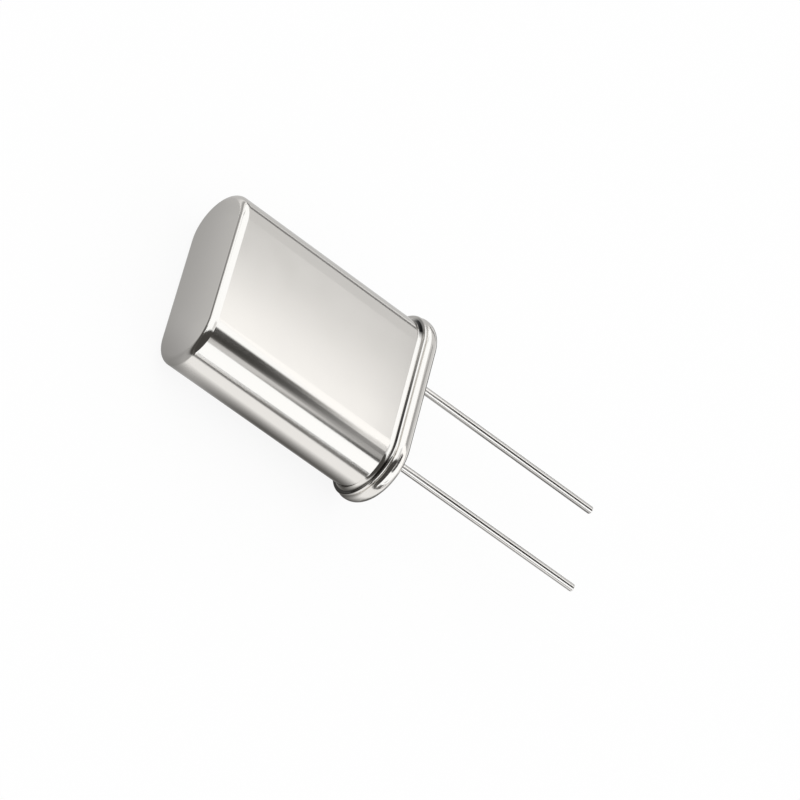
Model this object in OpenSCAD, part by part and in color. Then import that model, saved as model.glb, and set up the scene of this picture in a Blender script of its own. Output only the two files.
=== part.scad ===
// Quartz crystal unit in the tall two-lead metal case: a drawn can welded to a
// glass-sealed header, with a round crystal blank held by two spring clips inside.
//
// Every piece is drawn upright: Z runs up from the seating plane under the header,
// Y runs through the two leads and X through the thin way of the case.
// at_rest() then lays each piece down on its broad side, the way the part lies on a
// bench: it bears on the header's rim and on the far edge of the can, leads towards +X.

/* [Can] */
// Width of the can, measured along the row of leads
can_w = 10.24; // [8.4:0.02:12.4]
// Thickness of the can, through the broad faces
can_t = 4.18; // [3.4:0.02:5.1]
// Height of the can's top above the seating plane
case_h = 13.3; // [11:0.1:16]
// Thickness of the sheet the can is drawn from
sheet_t = 0.22; // [0.2:0.01:0.3]
// Outer radius round the can's top edge
top_r = 0.4; // [0.35:0.05:0.8]
// Outer radius where the wall turns out into the can's flange
foot_r = 0.16; // [0.12:0.01:0.2]
// How far the can's flange stops short of the rim's edge
flange_step = 0.065; // [0.03:0.005:0.08]
// Rounding of the can flange's cut edge
can_flange_edge_r = 0.08; // [0.04:0.01:0.09]

/* [Header] */
// Thickness of the header's rim
rim_t = 0.82; // [0.6:0.02:1]
// Width of the flat ring on the rim that the can's flange is welded to
weld_land = 0.07; // [0.05:0.01:0.15]
// Rounding of the rim's edge next to the weld
rim_top_r = 0.18; // [0.12:0.01:0.2]
// Rounding of the rim's edge at the seating plane
rim_bottom_r = 0.3; // [0.15:0.01:0.35]
// Height of the island that stands up inside the can, above the rim
island_h = 0.8; // [0.6:0.05:1.2]
// Gap between the island and the can's inner wall
island_gap = 0.08; // [0.04:0.01:0.15]
// Rounding of the island's top edge
island_edge_r = 0.15; // [0.05:0.01:0.2]

/* [Leads and glass] */
// Distance between the two leads
lead_pitch = 4.88; // [4:0.02:5.9]
// Diameter of the bare lead wire
wire_d = 0.4; // [0.3:0.01:0.5]
// Thickness of the tin coat on the wire outside the case
tin_t = 0.015; // [0.01:0.001:0.02]
// Length of the leads below the seating plane
lead_l = 13.8; // [6:0.1:26]
// Bare wire left between the seating plane and the tin coat
bare_l = 0.2; // [0.1:0.05:0.5]
// Length over which the tin coat thins out to nothing
tin_fade_l = 0.8; // [0.6:0.05:1]
// Bevel on the cut tip of each lead
lead_tip_bevel = 0.05; // [0.02:0.01:0.1]
// Height of the top of the lead's head above the island
lead_stand = 0.7; // [0.5:0.05:1]
// Diameter of the lead's flat head
head_d = 0.9; // [0.7:0.05:1.1]
// Thickness of the lead's flat head
head_t = 0.2; // [0.1:0.05:0.3]
// Diameter of each glass seal
seal_d = 1.9; // [1.5:0.05:2.2]
// Depth of the hollow ring that the melted glass leaves at each end of a seal
seal_dip = 0.08; // [0.04:0.01:0.12]

/* [Crystal] */
// Thickness of the quartz blank, which sets its frequency
blank_t = 0.166; // [0.1:0.002:0.34]
// Gap between the clips' feet and the blank's lowest edge
blank_lift = 0.8; // [0.3:0.05:1]
// Least gap between the blank's highest edge and the can's top
blank_top_gap = 1.0; // [0.5:0.1:2]
// Diameter of the round silver electrodes
electrode_d = 4.6; // [3:0.1:5.6]
// Width of the electrode's strip that runs out to the blank's edge
electrode_strip_w = 1.0; // [0.6:0.1:1.4]
// Bare margin between the electrode's strip and the blank's edge
electrode_margin = 0.05; // [0.02:0.01:0.1]
// Thickness of the electrode film
film_t = 0.02; // [0.01:0.005:0.03]

/* [Mounting clips] */
// Thickness of the clips' spring strip
clip_t = 0.1; // [0.08:0.01:0.12]
// Width of the clips' spring strip
clip_w = 1.3; // [1:0.05:1.5]
// Inner radius of the bend in each clip
clip_bend_r = 0.2; // [0.1:0.05:0.3]
// Gap between each clip and the rounded end of the can's bore
clip_side_gap = 0.75; // [0.6:0.01:1]
// How far the blank's edge stands out through a clip's slot
edge_out = 0.05; // [0.03:0.01:0.1]
// Gap between the films on the blank's faces and the sides of the slot
slot_gap = 0.02; // [0.01:0.01:0.06]
// Gap between the blank's edge and each end of the slot
slot_end_gap = 0.12; // [0.08:0.02:0.2]
// Strip left above the slot
clip_top = 0.45; // [0.3:0.05:0.6]
// Radius of the silver epoxy drop that fixes the blank in each slot
epoxy_r = 0.4; // [0.35:0.01:0.5]

/* [Hidden] */
$fn = 96;

LEFT = 1;
RIGHT = -1;
FRONT = 1;
BACK = -1;
// How far a cutting tool runs past the face it cuts through
past = 1;

// The can, its flange, the rim and the island are all offsets of one spine along Y,
// so their round ends share two centres.
spine_l = can_w - can_t;

// Half thicknesses, from the spine out
wall_x = can_t / 2;
bore_x = wall_x - sheet_t;
rim_x = wall_x + foot_r + weld_land + rim_top_r;
flange_x = rim_x - flange_step;
island_x = bore_x - island_gap;

// Heights, from the seating plane up
flange_top_z = rim_t + sheet_t;
wall_z = flange_top_z + foot_r;
island_z = rim_t + island_h;
head_z = island_z + lead_stand;
clip_z = head_z + clip_t;
blank_low_z = clip_z + blank_lift;

// Leads
lead_d = wire_d + 2 * tin_t;
lead_y = lead_pitch / 2;
tin_z = -bare_l - tin_fade_l;

// The blank is the largest round one that clears the clips' side gap and the can's top
blank_r_by_width = spine_l / 2 + bore_x - clip_side_gap + edge_out;
blank_r_by_height = (case_h - sheet_t - blank_top_gap - blank_low_z) / 2;
blank_r = min(blank_r_by_width, blank_r_by_height);
blank_z = blank_low_z + blank_r;

// Clips: the riser stands where the blank's edge comes through its slot
riser_y = blank_r - edge_out - clip_t;
slot_w = blank_t + 2 * film_t + 2 * slot_gap;
slot_h = 2 * (sqrt(pow(blank_r, 2) - pow(riser_y, 2)) + slot_end_gap);
riser_top_z = blank_z + slot_h / 2 + clip_top;

// The pose at rest. Seen from the end, the rim's upper edge and the can's top edge are
// two circles, and the bench is the line that touches both.
rim_edge_x = rim_x - rim_top_r;
rim_edge_z = rim_t - rim_top_r;
top_edge_x = wall_x - top_r;
top_edge_z = case_h - top_r;
rest_run = top_edge_z - rim_edge_z;
rest_rise = rim_edge_x - top_edge_x;
rest_tilt = atan2(rest_rise, rest_run) + asin((rim_top_r - top_r) / norm([rest_run, rest_rise]));
rest_z = rim_edge_x * cos(rest_tilt) + rim_edge_z * sin(rest_tilt) + rim_top_r;
// Reach towards -X at the can's top, and towards +X at the leads' tips
top_reach = top_edge_z * cos(rest_tilt) + top_edge_x * sin(rest_tilt) + top_r;
tip_reach = lead_l * cos(rest_tilt) + lead_d / 2 * sin(rest_tilt);
rest_x = (top_reach - tip_reach) / 2;

module at_rest() {
    translate([rest_x, 0, rest_z]) rotate([0, -90 - rest_tilt, 0]) children();
}

// ---- Shared shapes ----

// Carries a section round the obround case. In the section, x is the distance out from
// the spine and y the height.
module round_the_case() {
    for (turn = [0, 180])
        rotate(turn) translate([0, spine_l / 2, 0]) rotate_extrude(angle = 180) children();
    rotate([90, 0, 0]) linear_extrude(spine_l, center = true) {
        children();
        mirror([1, 0]) children();
    }
}

// The section of a sheet bent square: a quarter of a ring about the origin, from the
// angle `from` on.
module bend(inner_r, outer_r, from) {
    intersection() {
        difference() {
            circle(outer_r);
            circle(inner_r);
        }
        rotate(from) square(2 * outer_r);
    }
}

// The section of a plate from x = 0 out, with the two corners of its edge rounded.
module rounded_plate(out, thickness, lower_r, upper_r) {
    square([out - lower_r, thickness - upper_r]);
    translate([0, lower_r]) square([out - upper_r, thickness - lower_r]);
    translate([0, lower_r]) square([out, thickness - lower_r - upper_r]);
    translate([out - lower_r, lower_r]) circle(lower_r);
    translate([out - upper_r, thickness - upper_r]) circle(upper_r);
}

// ---- The case ----

// The drawn sheet: flat top, top bend, wall, foot bend, flange.
module can_section() {
    translate([0, case_h - sheet_t]) square([top_edge_x, sheet_t]);
    translate([top_edge_x, top_edge_z]) bend(top_r - sheet_t, top_r, 0);
    translate([bore_x, wall_z]) square([sheet_t, top_edge_z - wall_z]);
    translate([wall_x + foot_r, wall_z]) bend(foot_r, foot_r + sheet_t, 180);
    translate([wall_x + foot_r, rim_t])
        rounded_plate(flange_x - wall_x - foot_r, sheet_t, can_flange_edge_r, can_flange_edge_r);
}

module can() {
    color("silver") at_rest() round_the_case() can_section();
}

// The coined header: a rim that carries the can's flange, and the island inside the can.
module header_section() {
    rounded_plate(rim_x, rim_t, rim_bottom_r, rim_top_r);
    square([island_x, island_z - island_edge_r]);
    square([island_x - island_edge_r, island_z]);
    translate([island_x - island_edge_r, island_z - island_edge_r]) circle(island_edge_r);
}

module header() {
    color("lightgray") at_rest() difference() {
        round_the_case() header_section();
        for (side = [LEFT, RIGHT])
            translate([0, side * lead_y, -past]) cylinder(d = seal_d, h = island_z + 2 * past);
    }
}

// ---- Leads and glass ----

// The glass fills its eyelet from wire to wall. It wets the metal on both sides, so each
// end sags to a shallow hollow ring between them.
module glass_seal(side) {
    span = (seal_d - wire_d) / 2;
    dip_r = (pow(span / 2, 2) + pow(seal_dip, 2)) / (2 * seal_dip);
    translate([0, side * lead_y, 0]) rotate_extrude() difference() {
        translate([wire_d / 2, 0]) square([span, island_z]);
        for (z = [seal_dip - dip_r, island_z - seal_dip + dip_r])
            translate([wire_d / 2 + span / 2, z]) circle(dip_r);
    }
}

module glass_seal_left() {
    color("darkslategray") at_rest() glass_seal(LEFT);
}

module glass_seal_right() {
    color("darkslategray") at_rest() glass_seal(RIGHT);
}

// From the top: the flat head, the bare wire through the glass, the tin coat
// thickening, the tinned length that goes through a board, and the cut tip.
module lead(side) {
    translate([0, side * lead_y, 0]) {
        translate([0, 0, head_z - head_t]) cylinder(d = head_d, h = head_t);
        translate([0, 0, -bare_l]) cylinder(d = wire_d, h = bare_l + head_z - head_t / 2);
        translate([0, 0, tin_z]) cylinder(d1 = lead_d, d2 = wire_d, h = tin_fade_l);
        translate([0, 0, lead_tip_bevel - lead_l]) cylinder(d = lead_d, h = lead_l - lead_tip_bevel + tin_z);
        translate([0, 0, -lead_l])
            cylinder(d1 = lead_d - 2 * lead_tip_bevel, d2 = lead_d, h = lead_tip_bevel);
    }
}

module lead_left() {
    color("gainsboro") at_rest() lead(LEFT);
}

module lead_right() {
    color("gainsboro") at_rest() lead(RIGHT);
}

// ---- The crystal and what holds it ----

// One strip of spring metal: a foot welded on the lead's head, a bend, and a riser
// with a slot that takes the blank's edge.
module mounting_clip(side) {
    foot_y = lead_y - head_d / 2;
    bend_y = riser_y - clip_bend_r;
    bend_z = clip_z + clip_bend_r;
    mirror([0, side == LEFT ? 0 : 1, 0]) difference() {
        rotate([90, 0, 90]) linear_extrude(clip_w, center = true) {
            translate([foot_y, head_z]) square([bend_y - foot_y, clip_t]);
            translate([bend_y, bend_z]) bend(clip_bend_r, clip_bend_r + clip_t, 270);
            translate([riser_y, bend_z]) square([clip_t, riser_top_z - bend_z]);
        }
        translate([-slot_w / 2, riser_y - past, blank_z - slot_h / 2])
            cube([slot_w, clip_t + 2 * past, slot_h]);
    }
}

module mounting_clip_left() {
    color("khaki") at_rest() mounting_clip(LEFT);
}

module mounting_clip_right() {
    color("khaki") at_rest() mounting_clip(RIGHT);
}

module blank() {
    translate([0, 0, blank_z]) rotate([0, 90, 0]) cylinder(r = blank_r, h = blank_t, center = true);
}

module quartz_blank() {
    color("lightcyan", 0.5) at_rest() blank();
}

// A round film on one face of the blank, with a strip out to one clip. The front film
// runs to the left clip and the back film to the right one.
module electrode(face) {
    strip_l = blank_r - electrode_margin;
    translate([face == FRONT ? blank_t / 2 : -blank_t / 2 - film_t, 0, blank_z])
        rotate([90, 0, 90]) linear_extrude(film_t) {
            circle(d = electrode_d);
            intersection() {
                circle(strip_l);
                translate([face == FRONT ? 0 : -strip_l, -electrode_strip_w / 2])
                    square([strip_l, electrode_strip_w]);
            }
        }
}

module electrode_front() {
    color("white") at_rest() electrode(FRONT);
}

module electrode_back() {
    color("white") at_rest() electrode(BACK);
}

// A drop of silver-filled epoxy round the blank's edge where it stands in the slot.
module adhesive(side) {
    difference() {
        translate([0, side * (riser_y + clip_t / 2), blank_z]) sphere(epoxy_r);
        blank();
        mounting_clip(side);
        electrode(side == LEFT ? FRONT : BACK);
    }
}

module adhesive_left() {
    color("dimgray") at_rest() adhesive(LEFT);
}

module adhesive_right() {
    color("dimgray") at_rest() adhesive(RIGHT);
}

can();
header();
glass_seal_left();
glass_seal_right();
lead_left();
lead_right();
mounting_clip_left();
mounting_clip_right();
quartz_blank();
electrode_front();
electrode_back();
adhesive_left();
adhesive_right();
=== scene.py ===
# %% [markdown]
# # A quartz crystal unit in a tall oval metal can
#
# The real object is a small radio part. A can, drawn from thin sheet, is ring-welded to a
# coined header. Two wires go through glass beads in the header, and inside the can they
# carry two spring clips with a round quartz blank between them.
#
# The CAD frame already has every piece in its place. This lesson rebuilds the outer pieces
# as smooth meshes, because bright plating shows every facet, and it gives the pieces inside
# the can their finishes.

# %% Load the frame
from math import asin, atan2, cos, degrees, hypot, pi, radians, sin

import bmesh
import bpy
from mathutils import Matrix, Vector


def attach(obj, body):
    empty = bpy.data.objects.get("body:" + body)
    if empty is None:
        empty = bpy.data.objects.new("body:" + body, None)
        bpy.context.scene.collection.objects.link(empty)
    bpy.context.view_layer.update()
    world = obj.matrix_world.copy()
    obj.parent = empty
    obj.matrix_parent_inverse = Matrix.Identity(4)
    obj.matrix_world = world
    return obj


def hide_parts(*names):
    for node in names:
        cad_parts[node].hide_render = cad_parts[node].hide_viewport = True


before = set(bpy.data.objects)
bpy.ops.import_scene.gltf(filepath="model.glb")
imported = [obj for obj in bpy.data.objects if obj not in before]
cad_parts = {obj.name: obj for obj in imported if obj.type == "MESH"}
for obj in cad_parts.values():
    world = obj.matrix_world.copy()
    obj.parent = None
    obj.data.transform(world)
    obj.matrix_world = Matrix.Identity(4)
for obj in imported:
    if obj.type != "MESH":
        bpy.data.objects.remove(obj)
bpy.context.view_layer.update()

# %% [markdown]
# ## Sizes
#
# The maker's drawing gives sizes in millimetres and Blender works in metres, so every
# number from the drawing passes through `MM`. The drawing stands the part on its seating
# plane: Z goes up the can, Y through the two wires and X through the thin way.

# %% Sizes from the drawing
MM = 0.001
CAN_W, CAN_T, CASE_H, SHEET = 10.24, 4.18, 13.3, 0.22
TOP_R, FOOT_R = 0.4, 0.16
RIM_T, RIM_TOP_R, WELD_LAND, FLANGE_STEP = 0.82, 0.18, 0.07, 0.065
ISLAND_H, ISLAND_GAP, ISLAND_R = 0.8, 0.08, 0.15
LEAD_Y, WIRE_D, LEAD_D, LEAD_L, SEAL_D = 2.44, 0.4, 0.43, 13.8, 1.9

WALL_X = CAN_T / 2
BORE_X = WALL_X - SHEET
RIM_X = WALL_X + FOOT_R + WELD_LAND + RIM_TOP_R
FLANGE_X = RIM_X - FLANGE_STEP
SPINE = (CAN_W - CAN_T) / 2
ISLAND_X, ISLAND_Z = BORE_X - ISLAND_GAP, RIM_T + ISLAND_H
print(f"wall at {WALL_X} mm, rim at {RIM_X:.2f} mm, flange at {FLANGE_X:.3f} mm from the middle")

# %% [markdown]
# ## What the press and the weld leave
#
# A drawing has small, even corners. On the real part the die and the weld electrodes leave
# more: the flange comes out thinner than the sheet, with a round bead along its edge, and
# the coined rim is almost a half-round bar that bellies a little below the seating plane.
# Bright metal shows this at once, as a soft dark line and a wide white band, so the meshes
# use these sizes instead of the drawing's.

# %% Sizes as pressed
FLANGE_T, FLANGE_BEND_R, BEAD_R = 0.18, 0.2, 0.088
RIM_SHOULDER_R, RIM_BELLY_R, BELLY = 0.26, 0.62, 0.13
FLANGE_Z = RIM_T + FLANGE_T
print(f"the flange is {FLANGE_T} mm thick and the rim bellies by {BELLY} mm")

# %% [markdown]
# ## From standing to lying
#
# Let go, the part lies on its broad back face: the rim's edge and the can's far edge touch
# the table, so it leans by about two degrees. The lean is the slope of the line that
# touches both edges, and each finished mesh is turned by it once, in its vertices.

# %% The turn that lays the part down
run = (CASE_H - TOP_R) - (RIM_T - RIM_TOP_R)
rise = (RIM_X - RIM_TOP_R) - (WALL_X - TOP_R)
LEAN = atan2(rise, run) + asin((RIM_TOP_R - TOP_R) / hypot(run, rise))
rest_z = (RIM_X - RIM_TOP_R) * cos(LEAN) + (RIM_T - RIM_TOP_R) * sin(LEAN) + RIM_TOP_R
top_reach = (CASE_H - TOP_R) * cos(LEAN) + (WALL_X - TOP_R) * sin(LEAN) + TOP_R
tip_reach = LEAD_L * cos(LEAN) + LEAD_D / 2 * sin(LEAN)
LIE_DOWN = (
    Matrix.Translation(Vector(((top_reach - tip_reach) / 2, 0, rest_z)) * MM)
    @ Matrix.Rotation(-pi / 2 - LEAN, 4, "Y")
    @ Matrix.Scale(MM, 4)
)
print(f"the part leans by {degrees(LEAN):.3f} degrees")

# %% [markdown]
# ## The camera
#
# A long lens from 25 cm away keeps the can's edges nearly parallel, as in a close-up of a
# small part. The camera looks down at 42 degrees from over the can's closed end, and it is
# rolled, so that the part runs from the upper left to the lower right.

# %% Place the camera
AIM = Vector((1.39, 2.52, 0.64)) * MM
DISTANCE = 247 * MM
AZIMUTH, ELEVATION, ROLL = radians(-132.89), radians(42.27), radians(69.1)
lens = bpy.data.cameras.new("long_lens")
lens.sensor_width, lens.lens = 36.0, 215.9
lens.clip_start, lens.clip_end = 0.01, 10.0
camera = bpy.data.objects.new("camera", lens)
bpy.context.scene.collection.objects.link(camera)
camera.matrix_world = (
    Matrix.Translation(AIM)
    @ Matrix.Rotation(AZIMUTH, 4, "Z")
    @ Matrix.Rotation(pi / 2 - ELEVATION, 4, "Y")
    @ Matrix.Rotation(pi / 2 + ROLL, 4, "Z")
    @ Matrix.Translation((0, 0, DISTANCE))
)
bpy.context.scene.camera = camera
print("the camera stands at", [round(v * 1000) for v in camera.matrix_world.translation], "mm")

# %% [markdown]
# ## Helpers for meshes
#
# Every outer piece is a section carried round something: the can and the header round an
# obround, the beads and wires round an axis. A section starts as a few corner points. A
# vertex bevel turns each corner into a true arc, which is how a bend or a coined radius
# looks in a cut sample.

# %% Draw a section with rounded corners
ARC_STEPS = 14


def section(bm, corners, closed=False):
    """Vertices and edges through (x, z, radius) corners, in the plane y = 0."""
    points = [bm.verts.new((x, 0, z)) for x, z, _ in corners]
    for pair in zip(points, points[1:]):
        bm.edges.new(pair)
    if closed:
        bm.edges.new((points[-1], points[0]))
    for point, (_, _, radius) in zip(points, corners):
        if radius:
            bmesh.ops.bevel(
                bm, geom=[point], offset=radius, offset_type="OFFSET", affect="VERTICES",
                segments=ARC_STEPS, profile=0.5, material=-1, clamp_overlap=False,
            )
    return bm.verts[:] + bm.edges[:]


print("each rounded corner has", ARC_STEPS, "steps")

# %% [markdown]
# A piece is finished the same way each time: doubles are merged, the faces are turned
# outwards, edges sharper than a bend are marked so that the shading breaks there, and the
# weighted normals keep the flat faces flat right up to their bends.

# %% Turn a bmesh into a finished piece
SHARP = radians(38)
SAME_MM, SLIVER_MM = 1e-4, 1e-5


def finish_piece(bm, name, replaced):
    """The bmesh is laid down and becomes an object that stands for a CAD node."""
    bmesh.ops.remove_doubles(bm, verts=bm.verts[:], dist=SAME_MM)
    bmesh.ops.dissolve_degenerate(bm, edges=bm.edges[:], dist=SLIVER_MM)
    bmesh.ops.recalc_face_normals(bm, faces=bm.faces[:])
    for edge in bm.edges:
        edge.smooth = edge.calc_face_angle(0) < SHARP
    for face in bm.faces:
        face.smooth = True
    bmesh.ops.transform(bm, matrix=LIE_DOWN, verts=bm.verts[:])
    mesh = bpy.data.meshes.new(name)
    bm.to_mesh(mesh)
    open_edges = sum(1 for edge in bm.edges if not edge.is_manifold)
    bm.free()
    piece = bpy.data.objects.new(name, mesh)
    bpy.context.scene.collection.objects.link(piece)
    weighted = piece.modifiers.new("flat_faces_stay_flat", "WEIGHTED_NORMAL")
    weighted.keep_sharp = True
    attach(piece, "root")
    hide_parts(replaced)
    print(f"{name}: {len(mesh.polygons)} faces, {open_edges} open edges")
    return piece


print(f"edges over {degrees(SHARP):.0f} degrees stay sharp")

# %% [markdown]
# The obround is two half circles joined by two straight runs. Spin makes the half circles
# and extrude the straight runs, so the flat faces of the can stay single, perfectly flat
# faces, which a mirror finish needs.

# %% Carry a section round the obround
HALF_TURN_STEPS = 64


def only_verts(geom):
    return [part for part in geom if isinstance(part, bmesh.types.BMVert)]


def only_edges(geom):
    return [part for part in geom if isinstance(part, bmesh.types.BMEdge)]


def round_the_case(bm, geom):
    """The section makes a half turn, a straight run, a half turn and a straight run."""
    bmesh.ops.translate(bm, vec=(0, SPINE, 0), verts=only_verts(geom))
    for side in (1, -1):
        spun = bmesh.ops.spin(
            bm, geom=geom, cent=(0, side * SPINE, 0), axis=(0, 0, 1), dvec=(0, 0, 0),
            angle=pi, steps=HALF_TURN_STEPS, use_merge=False, use_duplicate=False,
        )
        run_out = bmesh.ops.extrude_edge_only(bm, edges=only_edges(spun["geom_last"]))["geom"]
        bmesh.ops.translate(bm, vec=(0, -2 * side * SPINE, 0), verts=only_verts(run_out))
        geom = only_verts(run_out) + only_edges(run_out)


print("each half round side has", HALF_TURN_STEPS, "steps")

# %% [markdown]
# ## The drawn can
#
# A press draws the can from one blank of sheet: flat top, a small bend, the wall, and at
# the open end a bend out to the flat flange that takes the weld. It could be a solid with
# its inside cut away, but one closed section of the sheet, carried round the case, gives
# the wall its real thickness at every bend.

# %% Make the can
can_section = [
    (0, CASE_H, 0),
    (WALL_X, CASE_H, TOP_R),
    (WALL_X, FLANGE_Z, FLANGE_BEND_R),
    (FLANGE_X, FLANGE_Z, BEAD_R),
    (FLANGE_X, RIM_T, BEAD_R),
    (BORE_X, RIM_T, FOOT_R + SHEET),
    (BORE_X, CASE_H - SHEET, TOP_R - SHEET),
    (0, CASE_H - SHEET, 0),
]
bm = bmesh.new()
round_the_case(bm, section(bm, can_section))
can = finish_piece(bm, "drawn_can", "can")

# %% [markdown]
# ## The coined header
#
# The header is pressed solid: a rim with a small radius above and a larger one below, and
# an island inside the can. Its edge is one more section carried round the case, and it
# stops a little way in over the top and the bottom. Those are flat faces with two round
# eyelets, so they are filled between the outline and two circles, and the circles are
# bridged to make the eyelet walls.

# %% The header's edge
header_section = [
    (RIM_X - 2 * RIM_BELLY_R, -BELLY, 0),
    (RIM_X, -BELLY, RIM_BELLY_R),
    (RIM_X, RIM_T, RIM_SHOULDER_R),
    (ISLAND_X, RIM_T, 0),
    (ISLAND_X, ISLAND_Z, ISLAND_R),
    (ISLAND_X - 2 * ISLAND_R, ISLAND_Z, 0),
]
bm = bmesh.new()
round_the_case(bm, section(bm, header_section))
bmesh.ops.remove_doubles(bm, verts=bm.verts[:], dist=SAME_MM)
print("the header's edge has", len(bm.faces), "faces")

# %% Its flat faces and its eyelets
EYELET_STEPS = 64


def off_eyelet(vert, side):
    """How far a vertex is from the wall of one eyelet, in mm."""
    return abs(hypot(vert.co.x, vert.co.y - side * LEAD_Y) - SEAL_D / 2)


for height in (-BELLY, ISLAND_Z):
    outline = [e for e in bm.edges if e.is_boundary and abs(e.verts[0].co.z - height) < SAME_MM]
    for side in (1, -1):
        place = Matrix.Translation((0, side * LEAD_Y, height))
        ring = bmesh.ops.create_circle(bm, segments=EYELET_STEPS, radius=SEAL_D / 2, matrix=place)
        outline += list({e for v in ring["verts"] for e in v.link_edges})
    bmesh.ops.triangle_fill(bm, edges=outline, use_beauty=True)
for side in (1, -1):
    rings = [e for e in bm.edges if e.is_boundary and off_eyelet(e.verts[0], side) < SAME_MM]
    bmesh.ops.bridge_loops(bm, edges=rings)
header = finish_piece(bm, "coined_header", "header")

# %% [markdown]
# ## The glass beads and the wires
#
# A ring of glass is fused in each eyelet. It wets the wire and the wall, so each end is a
# shallow hollow ring. The wire is bare through the glass, and the tin grows over the first
# millimetre below it. Both are turned shapes, so both are sections spun round their wire.

# %% Spin a section round one wire
TURN_STEPS = 64


def turned(corners, side, name, replaced, closed=False):
    """A full turn of the section round the wire on one side, 1 or -1."""
    bm = bmesh.new()
    bmesh.ops.spin(
        bm, geom=section(bm, corners, closed), cent=(0, 0, 0), axis=(0, 0, 1), dvec=(0, 0, 0),
        angle=2 * pi, steps=TURN_STEPS, use_merge=True, use_duplicate=False,
    )
    bmesh.ops.translate(bm, vec=(0, side * LEAD_Y, 0), verts=bm.verts[:])
    return finish_piece(bm, name, replaced)


print("each turned piece has", TURN_STEPS, "steps")

# %% Make the beads
SEAL_DIP, DIP_R = 0.08, 0.35
MID = (WIRE_D + SEAL_D) / 4
bead_section = [
    (WIRE_D / 2, 0, 0),
    (MID, 2 * SEAL_DIP, DIP_R),
    (SEAL_D / 2, 0, 0),
    (SEAL_D / 2, ISLAND_Z, 0),
    (MID, ISLAND_Z - 2 * SEAL_DIP, DIP_R),
    (WIRE_D / 2, ISLAND_Z, 0),
]
HANDS = ((1, "left"), (-1, "right"))
beads = [
    turned(bead_section, side, f"glass_bead_{hand}", f"glass_seal_{hand}", closed=True)
    for side, hand in HANDS
]

# %% [markdown]
# The wire has a flat head inside the can, which carries the clip, and a square-cut tip with
# its edge just broken. The tin starts from nothing 0.2 mm below the glass and is full at
# 1 mm, so the section only has to widen there.

# %% Make the wires
HEAD_UP, HEAD_D, HEAD_T, HEAD_EDGE = 0.7, 0.9, 0.2, 0.04
HEAD_Z = ISLAND_Z + HEAD_UP
TIN_START, TIN_FULL, TIP_EDGE = -0.2, -1.0, 0.05
wire_section = [
    (0, HEAD_Z, 0),
    (HEAD_D / 2, HEAD_Z, HEAD_EDGE),
    (HEAD_D / 2, HEAD_Z - HEAD_T, HEAD_EDGE),
    (WIRE_D / 2, HEAD_Z - HEAD_T, 0),
    (WIRE_D / 2, TIN_START, 0),
    (LEAD_D / 2, TIN_FULL, 0),
    (LEAD_D / 2, -LEAD_L, TIP_EDGE),
    (0, -LEAD_L, 0),
]
wires = [turned(wire_section, side, f"tinned_wire_{hand}", f"lead_{hand}") for side, hand in HANDS]

# %% [markdown]
# ## Helpers for materials
#
# Colours are written as sRGB hex values, as in a paint chart, and one function turns them
# to the linear values that the shader wants. Another adds one node with its settings and
# links, so that a material reads as a short list. A Mix node has a set of sockets for each
# type of value, so its colour sockets go by number, and the numbers get names here.

# %% Colours and nodes
MIX_FIRST, MIX_SECOND, MIX_RESULT = 6, 7, 2


def linear(hex_colour):
    """'#RRGGBB' in sRGB to linear RGBA."""
    channels = [int(hex_colour[i:i + 2], 16) / 255 for i in (1, 3, 5)]
    return tuple(c / 12.92 if c <= 0.04045 else ((c + 0.055) / 1.055) ** 2.4 for c in channels) + (1.0,)


def node(tree, kind, links=None, values=None, **settings):
    """One node in a tree: its settings, its socket values and the sockets linked to it."""
    made = tree.nodes.new("ShaderNode" + kind)
    for key, value in settings.items():
        setattr(made, key, value)
    for key, value in (values or {}).items():
        made.inputs[key].default_value = value
    for key, socket in (links or {}).items():
        tree.links.new(socket, made.inputs[key])
    return made


def material(name):
    """An empty node material and its tree."""
    made = bpy.data.materials.new(name)
    made.use_nodes = True
    made.node_tree.nodes.clear()
    return made, made.node_tree


print("a mid grey is", [round(c, 3) for c in linear("#808080")])

# %% [markdown]
# ## Plated and rolled metal
#
# All the metal here is bright: its look is its reflections, and the surface only tints and
# softens them a little. Two patterns do that, both read in Object coordinates. The first is
# a cloud, half a millimetre to three millimetres across, where plating came out thicker or
# parts rubbed in the barrel. It varies the tone and the gloss together, so one function
# makes both, and the glass, quartz and epoxy use it again. Most of a noise pattern lies
# between 0.3 and 0.7, so the gloss is spread over that part.

# %% Clouds that carry a tone and a gloss
CLOUD_LOW, CLOUD_HIGH = 0.3, 0.7


def clouds(tree, place, across_mm, detail, pale, deep, gloss):
    """A colour and a roughness socket; gloss is the smoothest and the roughest."""
    noise = node(tree, "TexNoise", {"Vector": place}, {"Scale": 1 / (across_mm * MM), "Detail": detail})
    cloud = noise.outputs["Fac"]
    colours = {MIX_FIRST: linear(deep), MIX_SECOND: linear(pale)}
    tone = node(tree, "Mix", {"Factor": cloud}, colours, data_type="RGBA")
    rough = node(
        tree, "MapRange", {"Value": cloud},
        {"From Min": CLOUD_LOW, "From Max": CLOUD_HIGH, "To Min": gloss[0], "To Max": gloss[1]},
    )
    return tone.outputs[MIX_RESULT], rough.outputs[0]


print("the gloss follows a cloud from", CLOUD_LOW, "to", CLOUD_HIGH)

# %% [markdown]
# The second pattern is a fine grain that stirs the reflection. The real grain is a few
# thousandths of a millimetre and could never show, so it is drawn at 0.12 mm and kept very
# shallow.

# %% A metal with clouds and grain
GRAIN_MM, GRAIN_DETAIL, METAL_CLOUD_DETAIL = 0.12, 2.0, 3.0


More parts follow.
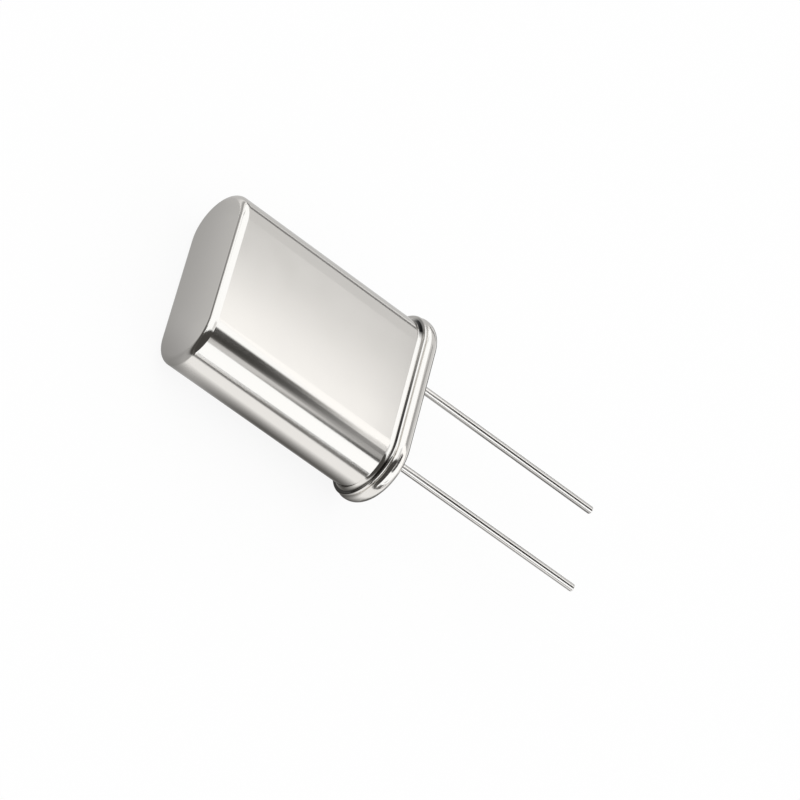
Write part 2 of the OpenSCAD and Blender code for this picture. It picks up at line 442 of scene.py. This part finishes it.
def bright_metal(name, pale, deep, gloss, cloud_mm, grain_depth_mm, stretch=(1, 1, 1)):
    """A stretch below 1 draws the patterns out along that axis."""
    made, tree = material(name)
    place = node(tree, "TexCoord").outputs["Object"]
    drawn = node(tree, "Mapping", {"Vector": place}, {"Scale": stretch}).outputs["Vector"]
    tone, rough = clouds(tree, drawn, cloud_mm, METAL_CLOUD_DETAIL, pale, deep, gloss)
    grain = node(
        tree, "TexNoise", {"Vector": drawn},
        {"Scale": 1 / (GRAIN_MM * MM), "Detail": GRAIN_DETAIL},
    )
    relief = node(
        tree, "Bump", {"Height": grain.outputs["Fac"]},
        {"Strength": 1.0, "Distance": grain_depth_mm * MM},
    )
    metal = node(
        tree, "BsdfPrincipled",
        {"Base Color": tone, "Roughness": rough, "Normal": relief.outputs[0]}, {"Metallic": 1.0},
    )
    node(tree, "OutputMaterial", {"Surface": metal.outputs["BSDF"]})
    return made


print("the grain is drawn at", GRAIN_MM, "mm")

# %% [markdown]
# Four metals come from it. Bright nickel, plated in a barrel over the can and the header,
# is a warm, pale near-mirror with the faintest clouds. Hot-dipped tin is whiter, with flow
# marks drawn out along the wire. The clips are rolled nickel silver: yellower and duller,
# with the rolling marks drawn out across the strip. The electrodes are silver film,
# evaporated on quartz, and they are very white.

# %% Make the four metals
bright_nickel = bright_metal(
    "barrel_plated_bright_nickel", "#E0DDD9", "#DDDAD5",
    gloss=(0.10, 0.13), cloud_mm=3.0, grain_depth_mm=0.00006,
)
tinned = bright_metal(
    "hot_dipped_tin_on_wire", "#E8E6E3", "#DEDBD7",
    gloss=(0.08, 0.13), cloud_mm=0.8, grain_depth_mm=0.0001, stretch=(0.25, 1, 1),
)
spring = bright_metal(
    "rolled_nickel_silver_strip", "#CFCABC", "#BDB7A8",
    gloss=(0.22, 0.32), cloud_mm=0.5, grain_depth_mm=0.0003, stretch=(1, 1, 0.2),
)
film = bright_metal(
    "evaporated_silver_film", "#EEECE8", "#E2E0DB",
    gloss=(0.08, 0.16), cloud_mm=1.0, grain_depth_mm=0.0001,
)
print("metals:", bright_nickel.name, tinned.name, spring.name, film.name)

# %% [markdown]
# ## Painted shade where the flange meets the wall
#
# A thin dark line is painted into the nickel's colour where the flange leaves the wall. It is
# painted shade: it stands in for the dark reflection of the narrow crease there, and a
# second, near-black band paints the shade in the fillet at the far corner. It could be a
# piece of its own, but it has no thickness, so it is mixed into the nickel's colour. Two
# heights over the seating plane bound it, and a ramp across the part says how dark it is at
# each place, because the shade is not even all the way round.

# %% Where the painted shade lies
def between_heights(tree, place, bottom, top, soft):
    """1 between two heights over the seating plane and 0 outside them, in mm."""
    up = (LIE_DOWN.to_3x3() @ Vector((0, 0, 1))).normalized()
    seat = LIE_DOWN.translation.dot(up)
    level = node(tree, "VectorMath", {0: place}, {1: up}, operation="DOT_PRODUCT").outputs["Value"]
    inside = []
    for start, end in ((top + soft, top), (bottom - soft, bottom)):
        heights = {"From Min": seat + start * MM, "From Max": seat + end * MM}
        edge = node(tree, "MapRange", {"Value": level}, heights, interpolation_type="SMOOTHSTEP")
        inside.append(edge.outputs[0])
    return node(tree, "Math", {0: inside[0], 1: inside[1]}, operation="MULTIPLY").outputs[0]


def across_the_part(tree, place, shares):
    """A ramp over the can's width through stops of (y in mm, share of painted shade)."""
    across = node(tree, "SeparateXYZ", {"Vector": place}).outputs["Y"]
    width = {"From Min": -CAN_W / 2 * MM, "From Max": CAN_W / 2 * MM}
    along = node(tree, "MapRange", {"Value": across}, width)
    ramp = node(tree, "ValToRGB", {"Fac": along.outputs[0]})
    for stop, (y, share) in enumerate(shares):
        if stop > 1:
            ramp.color_ramp.elements.new(1.0)
        ramp.color_ramp.elements[stop].position = y / CAN_W + 0.5
        ramp.color_ramp.elements[stop].color = (share, share, share, 1)
    return ramp.outputs["Color"]


print("the ramp runs over", CAN_W, "mm")

# %% Mix painted shade into a metal's colour
def paint_crease_shade(made, bottom, top, soft, shares, colour):
    """Heights and their soft edges are in mm; shares gives (y in mm, share of painted shade)."""
    tree = made.node_tree
    metal = next(n for n in tree.nodes if n.type == "BSDF_PRINCIPLED")
    plain = metal.inputs["Base Color"].links[0].from_socket
    place = node(tree, "TexCoord").outputs["Object"]
    inside = between_heights(tree, place, bottom, top, soft)
    amount = across_the_part(tree, place, shares)
    whole = node(tree, "Math", {0: inside, 1: amount}, operation="MULTIPLY")
    tint = node(
        tree, "Mix", {"Factor": whole.outputs[0], MIX_FIRST: plain}, {MIX_SECOND: linear(colour)},
        data_type="RGBA",
    )
    tree.links.new(tint.outputs[MIX_RESULT], metal.inputs["Base Color"])
    # the printed band is where the shade is painted
    print(f"scale from {bottom:.3f} to {top:.3f} mm over the seating plane")


# %% Painted shade on the flange and up one corner
# a thin line of painted shade where the flange leaves the wall
paint_crease_shade(
    bright_nickel, bottom=FLANGE_Z - 0.014, top=FLANGE_Z + 0.008, soft=0.008,
    shares=[(-5.1, 0.8), (-3, 1.0), (0, 0.92), (3.0, 0.5), (4.0, 0.2)], colour="#1C1B1A",
)
# near-black painted shade in the fillet at the far corner
paint_crease_shade(
    bright_nickel, bottom=FLANGE_Z + 0.01, top=FLANGE_Z + 0.12, soft=0.02,
    shares=[(3.3, 0), (3.8, 1.0), (4.7, 1.0), (5.05, 0)], colour="#0F0E0E",
)

# %% [markdown]
# ## Glass, quartz and epoxy
#
# The bead is a grey-green sealing glass, fused in place: glossy, half see-through, with its
# colour a little uneven. The blank is lapped quartz, which is clear but faintly frosted by
# the grit. The epoxy is full of silver flake: a pale grey paste that dries matte. All three
# are one body colour with soft specks and a gloss that follows them.

# %% A body with specks
SPECK_DETAIL = 2.0


def specked_body(name, pale, deep, gloss, speck_mm, transmission, ior):
    """A body that lets part of the light through, from none at 0 to all at 1."""
    made, tree = material(name)
    place = node(tree, "TexCoord").outputs["Object"]
    tone, rough = clouds(tree, place, speck_mm, SPECK_DETAIL, pale, deep, gloss)
    body = node(
        tree, "BsdfPrincipled", {"Base Color": tone, "Roughness": rough},
        {"Transmission Weight": transmission, "IOR": ior},
    )
    node(tree, "OutputMaterial", {"Surface": body.outputs["BSDF"]})
    return made


sealing_glass = specked_body(
    "fused_sealing_glass", "#7E8D86", "#6C7B75",
    gloss=(0.05, 0.09), speck_mm=0.5, transmission=0.5, ior=1.52,
)
quartz = specked_body(
    "lapped_quartz", "#F4F5F4", "#E6E9E8",
    gloss=(0.28, 0.36), speck_mm=0.2, transmission=0.9, ior=1.544,
)
epoxy = specked_body(
    "silver_flake_epoxy", "#C9C7C2", "#9B9994",
    gloss=(0.45, 0.6), speck_mm=0.06, transmission=0.0, ior=1.5,
)
print("others:", sealing_glass.name, quartz.name, epoxy.name)

# %% [markdown]
# Each new piece gets its finish as its one material; the table beside it also lists the slot
# of the record that the finish belongs to, which the loop does not read. The CAD nodes keep
# their meshes, so they only get the finish in their material slots, including the nodes
# that the new pieces stand for.

# %% Give every piece its finish
for pieces, finish, slot in [
    ([can, header], bright_nickel, "nickel_plated_case"),
    (beads, sealing_glass, "seal_glass"),
    (wires, tinned, "tinned_wire"),
]:
    for piece in pieces:
        piece.data.materials.append(finish)
for finish, names in [
    (bright_nickel, ("can", "header")),
    (sealing_glass, ("glass_seal_left", "glass_seal_right")),
    (tinned, ("lead_left", "lead_right")),
    (spring, ("mounting_clip_left", "mounting_clip_right")),
    (quartz, ("quartz_blank",)),
    (film, ("electrode_front", "electrode_back")),
    (epoxy, ("adhesive_left", "adhesive_right")),
]:
    for name in names:
        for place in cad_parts[name].material_slots:
            place.material = finish
    print(finish.name, "on", ", ".join(names))

# %% [markdown]
# ## The table
#
# The part lies on a white sheet. The sheet is lit as everything is, so it keeps the part's
# shadow. A large share of plain white is mixed in for rays that come from the camera or off
# metal and glass, which brings the open sheet up to paper white and makes the shadow faint.

# %% Make the table
PAPER_REACH, WHITE_SHARE = 2.0, 0.88
bm = bmesh.new()
bmesh.ops.create_grid(bm, x_segments=8, y_segments=8, size=PAPER_REACH)
table_mesh = bpy.data.meshes.new("white_sheet")
bm.to_mesh(table_mesh)
bm.free()
table = bpy.data.objects.new("white_sheet", table_mesh)
bpy.context.scene.collection.objects.link(table)

paper, tree = material("white_paper_sheet")
ray = node(tree, "LightPath").outputs
seen = node(tree, "Math", {0: ray["Is Camera Ray"], 1: ray["Is Glossy Ray"]}, operation="MAXIMUM")
seen = node(tree, "Math", {0: seen.outputs[0], 1: ray["Is Transmission Ray"]}, operation="MAXIMUM")
share = node(tree, "Math", {0: seen.outputs[0]}, {1: WHITE_SHARE}, operation="MULTIPLY")
matte = node(tree, "BsdfDiffuse", values={"Color": linear("#FBFBFB")})
white = node(tree, "Emission", values={"Color": (1, 1, 1, 1), "Strength": 1.0})
mixed = node(tree, "MixShader", {0: share.outputs[0], 1: matte.outputs[0], 2: white.outputs[0]})
node(tree, "OutputMaterial", {"Surface": mixed.outputs["Shader"]})
table_mesh.materials.append(paper)
print("the sheet is", 2 * PAPER_REACH, "m wide")

# %% [markdown]
# ## The studio
#
# The light itself is plain: an even white sky at strength 1, at which a colour renders as
# it is written.

# %% Light
world = bpy.data.worlds.new("white_room")
bpy.context.scene.world = world
world.use_nodes = True
sky = world.node_tree.nodes["Background"]
sky.inputs["Color"].default_value = (1, 1, 1, 1)
sky.inputs["Strength"].default_value = 1.0
bpy.context.scene.view_settings.view_transform = "Standard"
print("the sky is white at strength", sky.inputs["Strength"].default_value)

# %% [markdown]
# Bright metal has no look of its own: it needs something to reflect. A photographer hangs
# white, grey and black cards round such a part, and each one shows as a band or a line.
# The cards here are seen by reflections only. They light nothing and shade nothing, so the
# plain sky still does all the lighting.

# %% A card that only reflections see
COOL_ABOVE, BROWN_BELOW = 1.38, 0.2


def reflector(name, bm, shade):
    """An object from the bmesh, seen by glossy rays alone."""
    mesh = bpy.data.meshes.new(name)
    bm.to_mesh(mesh)
    bm.free()
    mesh.materials.append(shade)
    made = bpy.data.objects.new(name, mesh)
    bpy.context.scene.collection.objects.link(made)
    made.visible_camera = made.visible_diffuse = made.visible_shadow = False
    made.visible_transmission = made.visible_volume_scatter = False
    return made


def paint(brightness):
    """The brightest cards stand under cool tubes, and black felt is a little brown."""
    if brightness > COOL_ABOVE:
        return linear("#FBFDFF")
    return linear("#FFFBF4") if brightness < BROWN_BELOW else linear("#FFFFFF")


def soft_edge(tree, along, half, feather):
    """1 on the card and 0 at its edge, over the feather, in mm."""
    out = node(tree, "Math", {0: along}, operation="ABSOLUTE")
    fade = {"From Min": half * MM, "From Max": (half - feather) * MM}
    edge = node(tree, "MapRange", {"Value": out.outputs[0]}, fade, interpolation_type="SMOOTHSTEP")
    return edge.outputs[0]


print("reflectors hide from the camera and cast no light")

# %% Hang flat cards
FAR, CEILING = 1100.0, 142.0


def card(name, x_span, y_span, height, brightness, feather):
    """One card that fades out at its edges; everything but its brightness is in mm."""
    size = [span[1] - span[0] for span in (x_span, y_span)]
    middle = [sum(span) / 2 for span in (x_span, y_span)]
    bm = bmesh.new()
    bmesh.ops.create_grid(bm, x_segments=1, y_segments=1, size=0.5)
    bmesh.ops.scale(bm, vec=(size[0] * MM, size[1] * MM, 1), verts=bm.verts[:])
    shade, tree = material(name)
    where = node(tree, "SeparateXYZ", {"Vector": node(tree, "TexCoord").outputs["Object"]}).outputs
    cover = [soft_edge(tree, where[axis], size[axis] / 2, feather[axis]) for axis in (0, 1)]
    both = node(tree, "Math", {0: cover[0], 1: cover[1]}, operation="MULTIPLY")
    clear = node(tree, "BsdfTransparent")
    glow = node(tree, "Emission", values={"Color": paint(brightness), "Strength": brightness})
    mixed = node(tree, "MixShader", {0: both.outputs[0], 1: clear.outputs[0], 2: glow.outputs[0]})
    node(tree, "OutputMaterial", {"Surface": mixed.outputs[0]})
    reflector(name, bm, shade).location = Vector((*middle, height)) * MM


def hang(title, cards):
    """A list of (name, x span, y span, height, brightness, feather in x and y)."""
    for values in cards:
        card(*values)
    print(title + ":", len(cards), "cards")


# %% [markdown]
# The spans below are millimetres from the middle of the part: x runs from the closed end
# (minus) to the wires (plus) and y from the camera's side (minus) to the far side. A card
# that lies lower hides the ones above it, so the ceiling goes from plain to particular:
# first black over all, then the large cards that fill the big faces. Brightness 1 is paper
# white. Nickel gives back three quarters of it and warms it, so the whitest cards are cool
# lamps of 1.4, and they still show as clean white, not as glare.

# %% The large cards overhead
hang("large cards", [
    ("dark_ceiling", (-FAR, FAR), (-FAR, FAR), CEILING, 0.07, (1, 1)),
    ("white_over_closed_end", (-FAR, 64), (-32, 1000), 141.6, 1.39, (6, 16)),
    ("grey_for_broad_face", (60, FAR), (100, 800), 141.5, 0.77, (6, 2)),
    ("white_for_near_bend", (56, FAR), (-16, 109), 141.4, 1.37, (6, 7)),
    ("white_for_near_side", (50, FAR), (-FAR, -110), 141.3, 1.40, (8, 6)),
    ("grey_seen_from_wires_end", (-350, -150), (200, 330), 141.55, 0.72, (50, 30)),
    ("grey_seen_from_closed_end", (235, 400), (-410, -230), 141.22, 0.72, (40, 40)),
    ("grey_seen_from_above", (-60, 40), (-28, 50), 141.52, 0.9, (25, 20)),
])

# %% [markdown]
# The half-round side turns away from the camera, so it packs a wide stretch of ceiling into
# a few narrow lines. Each gap between the large cards is one dark line along the side, and
# a grey card in a gap makes the line softer.

# %% Gaps that draw lines along the round side
hang("lines on the round side", [
    ("grey_in_the_gap", (58, 120), (-104, -8), 141.2, 0.52, (8, 8)),
    ("light_in_the_gap", (52, 78), (-118, -62), 141.1, 0.8, (8, 10)),
    ("thin_dark_line", (72, 124), (-106, -82), 141.0, 0.05, (6, 6)),
    ("shade_at_closed_end", (36, 68), (-60, 24), 140.8, 0.05, (10, 18)),
    ("shade_far_out", (486, FAR), (-FAR, -760), 141.25, 0.07, (9, 40)),
    ("step_far_out", (335, FAR), (-800, -600), 141.2, 0.07, (16, 30)),
    ("shade_on_closed_end", (-FAR, -300), (-70, 20), 140.4, 0.1, (60, 30)),
])

# %% [markdown]
# The rim and the wires are thin round bars. A bar shows the whole room as stripes, so one
# small dark or grey card, in the right place, draws the stripe down its middle.

# %% Stripes on the rim and the wires
hang("stripes on thin bars", [
    ("grey_dip_on_rim", (88, 114), (88, 117), 140.7, 0.46, (2, 4)),
    ("grey_band_on_rim", (106, 205), (88, 150), 140.65, 0.46, (4, 5)),
    ("white_on_rim_corner", (114, FAR), (-128, -8), 141.35, 1.40, (8, 8)),
    ("dark_on_upper_wire", (70, 118), (-44, 28), 140.6, 0.03, (1.5, 6)),
    ("dark_on_lower_wire", (78, 124), (-90, -38), 140.5, 0.03, (2, 6)),
])

# %% [markdown]
# The undersides reflect the table. Cards that lie almost on it tone the white sheet down
# there, as the part's own shade does, and keep the closed end, the lower half of the round
# side and the back of the rim darker than the open paper.

# %% Cards low over the table
hang("low cards", [
    ("table_before_near_side", (-11.5, FAR), (-50, -6), 0.03, 1.1, (1.5, 3)),
    ("table_further_out", (-FAR, FAR), (-FAR, -46), 0.02, 0.3, (1, 8)),
    ("table_behind_far_side", (-18, 400), (6, 400), 0.03, 0.65, (3, 2)),
    ("table_behind_wires", (14, FAR), (6, FAR), 0.04, 0.95, (6, 2)),
    ("table_before_closed_end", (-FAR, -11), (-FAR, 9), 0.05, 0.47, (2, 3)),
    ("table_left_of_closed_end", (-FAR, -17), (5, FAR), 0.055, 0.45, (5, 3)),
    ("glow_before_closed_end", (-60, -13.2), (-4.5, 8.5), 0.06, 0.65, (3.5, 3)),
    ("dark_beyond_closed_end", (-FAR, -17), (-FAR, 14), 0.07, 0.07, (10, 8)),
    ("shade_under_wires", (1, 60), (-7.5, 7.5), 0.08, 0.4, (1, 1.5)),
    ("shade_behind_rim", (5, 22), (-1, 18), 0.085, 0.08, (3, 3)),
    ("shade_where_it_touches", (-20, 14), (-9.0, -1.0), 0.09, 0.09, (14, 4.5)),
])

# %% [markdown]
# Last come the walls of the room, which close the gap between the table and the ceiling.
# A surface seen at a glancing angle reflects them. They are dark where an edge of the can
# should stand out against the white sheet, and white where a band should run out. The near
# wall is dark all along its foot, and has one white stretch above that.

# %% Stand the walls
FOOT_H = 60


def wall(name, start, end, foot, head, brightness):
    """A wall between two (x, y) corners, from foot to head above the table, in mm."""
    bm = bmesh.new()
    corners = [bm.verts.new((x * MM, y * MM, foot * MM)) for x, y in (start, end)]
    risen = bmesh.ops.extrude_edge_only(bm, edges=[bm.edges.new(corners)])["geom"]
    bmesh.ops.translate(bm, vec=(0, 0, (head - foot) * MM), verts=only_verts(risen))
    shade, tree = material(name)
    glow = node(tree, "Emission", values={"Color": paint(brightness), "Strength": brightness})
    node(tree, "OutputMaterial", {"Surface": glow.outputs[0]})
    return reflector(name, bm, shade)


walls = [
    wall("near_wall_low", (-FAR, -FAR), (FAR, -FAR), 0, FOOT_H, 0.12),
    wall("near_wall_left", (-FAR, -FAR), (300, -FAR), FOOT_H, CEILING, 0.12),
    wall("near_wall_white", (300, -FAR), (550, -FAR), FOOT_H, CEILING, 1.2),
    wall("near_wall_right", (550, -FAR), (FAR, -FAR), FOOT_H, CEILING, 0.12),
    wall("wall_beyond_wires", (FAR, -FAR), (FAR, FAR), 0, CEILING, 0.95),
    wall("far_wall_right", (0, FAR), (FAR, FAR), 0, CEILING, 0.3),
    wall("far_wall_left", (-FAR, FAR), (0, FAR), 0, CEILING, 1.2),
    wall("wall_beyond_closed_end", (-FAR, -FAR), (-FAR, 330), 0, CEILING, 0.1),
    wall("white_beyond_closed_end", (-FAR, 330), (-FAR, FAR), 0, CEILING, 1.2),
]
print(len(walls), "walls stand round the table")
